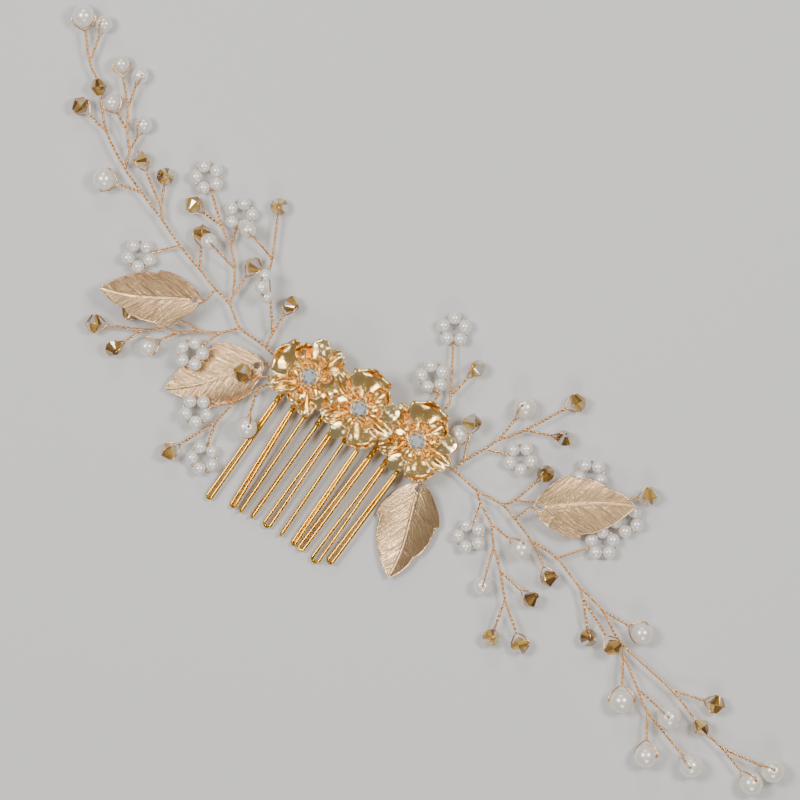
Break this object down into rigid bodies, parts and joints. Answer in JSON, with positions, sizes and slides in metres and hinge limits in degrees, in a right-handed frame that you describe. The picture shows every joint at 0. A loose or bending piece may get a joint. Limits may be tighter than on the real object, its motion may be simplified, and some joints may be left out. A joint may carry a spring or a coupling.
{
  "type": "decorative hair comb",
  "caption": "Gold wire hair comb with cast flowers set with clear stones, stamped leaves, and long sprays of twisted wire carrying pearls, rings of small pearls and amber faceted crystals.",
  "frame": {"origin": "middle of the bounding box at its underside, which is the side that lies on the hair", "axes": "+X along the bar of the comb, from the leaf spray to the long spray; +Y away from the teeth; +Z out of the hair, towards the viewer"},
  "size_m": [0.2602, 0.0944, 0.0113],
  "materials": {
    "comb_wire": "polished yellow gold plating",
    "twisted_wire": "polished pale rose gold plating on twisted wire",
    "cast_gold": "bright polished gold plated casting",
    "stone_cup": "polished cast cup with a granulated rim",
    "clear_stone": "clear faceted stone with a foiled back",
    "leaf_gold": "satin champagne gold sheet with pressed veins and a bright rim",
    "pearl": "pearlescent ivory",
    "small_pearl": "pearlescent white",
    "amber_glass": "faceted amber brown crystal with a soft gold lustre"
  },
  "bodies": {
    "comb": {"comb_bar": "comb_wire", "comb_tooth_01": "comb_wire", "comb_tooth_02": "comb_wire", "comb_tooth_03": "comb_wire", "comb_tooth_04": "comb_wire", "comb_tooth_05": "comb_wire", "comb_tooth_06": "comb_wire", "comb_tooth_07": "comb_wire", "comb_tooth_08": "comb_wire", "comb_tooth_09": "comb_wire", "comb_tooth_10": "comb_wire", "binding_wire": "comb_wire", "flower_1_petals": "cast_gold", "flower_1_crown": "cast_gold", "stone_cups": "stone_cup", "rhinestones": "clear_stone", "flower_mounts": "cast_gold", "flower_2_petals": "cast_gold", "flower_2_crown": "cast_gold", "flower_3_petals": "cast_gold", "flower_3_crown": "cast_gold", "bound_wires": "twisted_wire", "side_ring_pearls": "small_pearl"},
    "left_spray": {"left_spray_wire": "twisted_wire", "left_spray_crystals": "amber_glass", "left_spray_pearls": "pearl", "left_spray_ring_pearls": "small_pearl"},
    "lower_left_spray": {"lower_left_spray_wire": "twisted_wire", "lower_left_spray_ring_pearls": "small_pearl"},
    "top_right_spray": {"top_right_spray_wire": "twisted_wire", "top_right_spray_ring_pearls": "small_pearl"},
    "right_spray": {"right_spray_wire": "twisted_wire", "right_spray_crystals": "amber_glass", "right_spray_pearls": "pearl", "right_spray_ring_pearls": "small_pearl"},
    "leaf_upper_left": {"leaf_upper_left": "leaf_gold"},
    "leaf_right": {"leaf_right": "leaf_gold"},
    "leaf_left": {"leaf_left": "leaf_gold"},
    "leaf_lower": {"leaf_lower": "leaf_gold"},
    "left_inline_crystal": {"left_inline_crystal": "amber_glass"},
    "left_tip_pearl": {"left_tip_pearl": "pearl"},
    "left_tip_small_pearl": {"left_tip_small_pearl": "pearl"},
    "left_outer_pearl": {"left_outer_pearl": "pearl"},
    "left_outer_crystal": {"left_outer_crystal": "amber_glass"},
    "lower_left_crystal": {"lower_left_crystal": "amber_glass"},
    "lower_left_pearl": {"lower_left_pearl": "pearl"},
    "top_right_crystal": {"top_right_crystal": "amber_glass"},
    "right_inline_crystal": {"right_inline_crystal": "amber_glass"},
    "right_tip_pearl": {"right_tip_pearl": "pearl"},
    "right_tip_upper_pearl": {"right_tip_upper_pearl": "pearl"},
    "right_low_pearl": {"right_low_pearl": "pearl"},
    "right_fork_pearl": {"right_fork_pearl": "pearl"},
    "right_upper_pearl": {"right_upper_pearl": "pearl"},
    "right_drop_pearl": {"right_drop_pearl": "pearl"},
    "right_branch_pearl": {"right_branch_pearl": "pearl"},
    "leaf_crystal": {"leaf_crystal": "amber_glass"},
    "shaded_pearl": {"shaded_pearl": "pearl"}
  },
  "joints": [
    {"name": "left_spray_bend", "type": "hinge", "parent": "comb", "child": "left_spray", "pos_m": [-0.04213, -0.00482, 0.00337], "axis": [0.5592, 0.829, 0], "range_deg": [0, 30]},
    {"name": "lower_left_spray_bend", "type": "hinge", "parent": "comb", "child": "lower_left_spray", "pos_m": [-0.03763, -0.01382, 0.00337], "axis": [-0.9063, 0.4226, 0], "range_deg": [0, 30]},
    {"name": "top_right_spray_bend", "type": "hinge", "parent": "comb", "child": "top_right_spray", "pos_m": [0.00587, 0.00668, 0.00337], "axis": [0.9659, 0.2588, 0], "range_deg": [0, 30]},
    {"name": "right_spray_bend", "type": "hinge", "parent": "comb", "child": "right_spray", "pos_m": [0.01587, -0.00682, 0.00337], "axis": [0.342, -0.9397, 0], "range_deg": [0, 30]},
    {"name": "leaf_upper_left_swivel", "type": "hinge", "parent": "left_spray", "child": "leaf_upper_left", "pos_m": [-0.06432, -0.00398, 0.00637], "axis": [-0.1783, 0.4005, 0.8988], "range_deg": [0, 10]},
    {"name": "leaf_right_swivel", "type": "hinge", "parent": "right_spray", "child": "leaf_right", "pos_m": [0.04007, -0.00328, 0.00637], "axis": [0, 0, 1], "range_deg": [-10, 10]},
    {"name": "leaf_left_swivel", "type": "hinge", "parent": "comb", "child": "leaf_left", "pos_m": [-0.04175, -0.01, 0.00289], "axis": [-0.0184, -0.0186, 0.9997], "range_deg": [-10, 3]},
    {"name": "leaf_lower_swivel", "type": "hinge", "parent": "comb", "child": "leaf_lower", "pos_m": [0.01053, -0.01551, 0.00395], "axis": [0.0157, -0.068, 0.9976], "range_deg": [-10, 10]},
    {"name": "left_inline_crystal_spin", "type": "hinge", "parent": "left_spray", "child": "left_inline_crystal", "pos_m": [-0.11431, 0.0303, 0.00312], "axis": [-0.669, 0.743, -0.0208], "continuous": true},
    {"name": "left_tip_pearl_spin", "type": "hinge", "parent": "left_spray", "child": "left_tip_pearl", "pos_m": [-0.12722, 0.04407, 0.00367], "axis": [-0.7771, -0.6293, 0], "continuous": true},
    {"name": "left_tip_small_pearl_spin", "type": "hinge", "parent": "left_spray", "child": "left_tip_small_pearl", "pos_m": [-0.12167, 0.04505, 0.00297], "axis": [-0.3426, -0.0301, 0.939], "continuous": true},
    {"name": "left_outer_pearl_spin", "type": "hinge", "parent": "left_spray", "child": "left_outer_pearl", "pos_m": [-0.10079, 0.01059, 0.00367], "axis": [0.2096, -0.9623, 0.1736], "continuous": true},
    {"name": "left_outer_crystal_spin", "type": "hinge", "parent": "left_spray", "child": "left_outer_crystal", "pos_m": [-0.08365, -0.0227, 0.00312], "axis": [0.4067, -0.9135, 0], "continuous": true},
    {"name": "lower_left_crystal_spin", "type": "hinge", "parent": "lower_left_spray", "child": "lower_left_crystal", "pos_m": [-0.0497, -0.04101, 0.00312], "axis": [0.842, -0.4172, 0.342], "continuous": true},
    {"name": "lower_left_pearl_spin", "type": "hinge", "parent": "lower_left_spray", "child": "lower_left_pearl", "pos_m": [-0.03582, -0.02516, 0.00517], "axis": [0.2078, 0.2246, 0.952], "continuous": true},
    {"name": "top_right_crystal_spin", "type": "hinge", "parent": "top_right_spray", "child": "top_right_crystal", "pos_m": [0.00734, 0.01889, 0.00312], "axis": [-0.4846, 0.1251, 0.8658], "continuous": true},
    {"name": "right_inline_crystal_spin", "type": "hinge", "parent": "right_spray", "child": "right_inline_crystal", "pos_m": [0.10537, -0.03033, 0.00312], "axis": [0.9395, -0.342, -0.02], "continuous": true},
    {"name": "right_tip_pearl_spin", "type": "hinge", "parent": "right_spray", "child": "right_tip_pearl", "pos_m": [0.12397, -0.03604, 0.00387], "axis": [0.1287, 0.4845, 0.8653], "continuous": true},
    {"name": "right_tip_upper_pearl_spin", "type": "hinge", "parent": "right_spray", "child": "right_tip_upper_pearl", "pos_m": [0.12702, -0.03037, 0.00387], "axis": [-0.0548, 0.1682, 0.9842], "continuous": true},
    {"name": "right_low_pearl_spin", "type": "hinge", "parent": "right_spray", "child": "right_low_pearl", "pos_m": [0.09694, -0.04415, 0.00387], "axis": [0.7469, 0.4389, 0.4995], "continuous": true},
    {"name": "right_fork_pearl_spin", "type": "hinge", "parent": "right_spray", "child": "right_fork_pearl", "pos_m": [0.09684, -0.03246, 0.00517], "axis": [-0.1585, 0.0308, 0.9869], "continuous": true},
    {"name": "right_upper_pearl_spin", "type": "hinge", "parent": "right_spray", "child": "right_upper_pearl", "pos_m": [0.07967, -0.01751, 0.00367], "axis": [-0.0249, 0.9394, 0.3419], "continuous": true},
    {"name": "right_drop_pearl_spin", "type": "hinge", "parent": "right_spray", "child": "right_drop_pearl", "pos_m": [0.04133, -0.0149, 0.00487], "axis": [-0.0666, 0.5119, 0.8564], "continuous": true},
    {"name": "right_branch_pearl_spin", "type": "hinge", "parent": "right_spray", "child": "right_branch_pearl", "pos_m": [0.02329, 0.01674, 0.00367], "axis": [-0.3423, 0.0222, 0.9393], "continuous": true},
    {"name": "leaf_crystal_spin", "type": "hinge", "parent": "comb", "child": "leaf_crystal", "pos_m": [-0.0441, -0.01366, 0.00617], "axis": [0.1392, -0.9903, 0], "continuous": true},
    {"name": "shaded_pearl_spin", "type": "hinge", "parent": "comb", "child": "shaded_pearl", "pos_m": [0.01237, 0.00198, 0.00317], "axis": [-0.9272, 0.3746, 0], "continuous": true}
  ]
}
